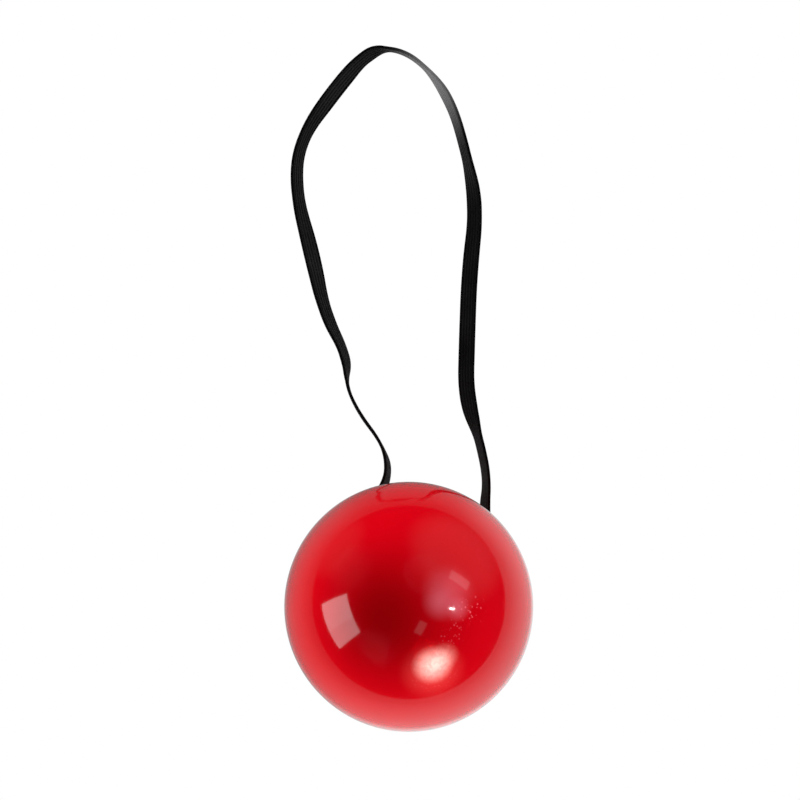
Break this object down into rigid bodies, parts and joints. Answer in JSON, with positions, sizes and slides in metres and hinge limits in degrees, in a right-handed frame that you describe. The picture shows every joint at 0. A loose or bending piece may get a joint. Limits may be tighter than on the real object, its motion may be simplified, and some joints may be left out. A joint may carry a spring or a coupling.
{
  "type": "light-up clown nose",
  "caption": "Red light-up clown nose: a glossy 57 mm ball with lamps, button cells, a push button and a flat black elastic head band.",
  "frame": {"origin": "centre of the flat back rim, which stands on Z = 0", "axes": "+Z along the nose's axis towards its front, +Y up on the wearer's face, +X to one side"},
  "size_m": [0.0943, 0.1607, 0.0521],
  "materials": {
    "ball_red": "translucent gloss",
    "cup_red": "satin",
    "housing_black": "satin",
    "board_green": "solder mask",
    "lamp_clear_red": "clear tinted, lit",
    "tinned_wire": "tinned",
    "resin_black": "cast resin",
    "resistor_body": "lacquered",
    "button_white": "gloss",
    "cell_steel": "polished",
    "contact_brass": "rolled",
    "door_black": "fine texture",
    "screw_steel": "zinc plated",
    "elastic_black": "woven",
    "stop_steel": "crimped"
  },
  "bodies": {
    "root": {"front_dome": "ball_red", "rear_shell": "ball_red", "nose_cup": "cup_red", "module_housing": "housing_black", "switch_body": "housing_black", "circuit_board": "board_green", "led_1": "lamp_clear_red", "led_2": "lamp_clear_red", "led_3": "lamp_clear_red", "led_4": "lamp_clear_red", "led_legs": "tinned_wire", "flasher_chip": "resin_black", "resistor": "resistor_body", "battery_cell_1": "cell_steel", "battery_cell_2": "cell_steel", "battery_cell_3": "cell_steel", "contact_plate": "contact_brass", "contact_spring": "contact_brass", "housing_screws": "screw_steel", "board_screws": "screw_steel", "elastic_band": "elastic_black", "band_stop_left": "stop_steel", "band_stop_right": "stop_steel"},
    "push_button": {"push_button": "button_white", "switch_plunger": "button_white"},
    "battery_door": {"battery_door": "door_black"},
    "door_screw": {"door_screw": "screw_steel"}
  },
  "joints": [
    {"name": "button_press", "type": "slide", "parent": "root", "child": "push_button", "axis": [0, 0, 1], "range_m": [0, 0.0005], "stiffness_N_per_m": 800, "springref_m": -0.0006},
    {"name": "door_lift", "type": "slide", "parent": "root", "child": "battery_door", "axis": [0, 0, -1], "range_m": [0, 0.014]},
    {"name": "screw_turn", "type": "hinge", "parent": "battery_door", "child": "door_screw", "pos_m": [0, -0.0039, 0.016], "axis": [0, 0, 1], "continuous": true}
  ]
}
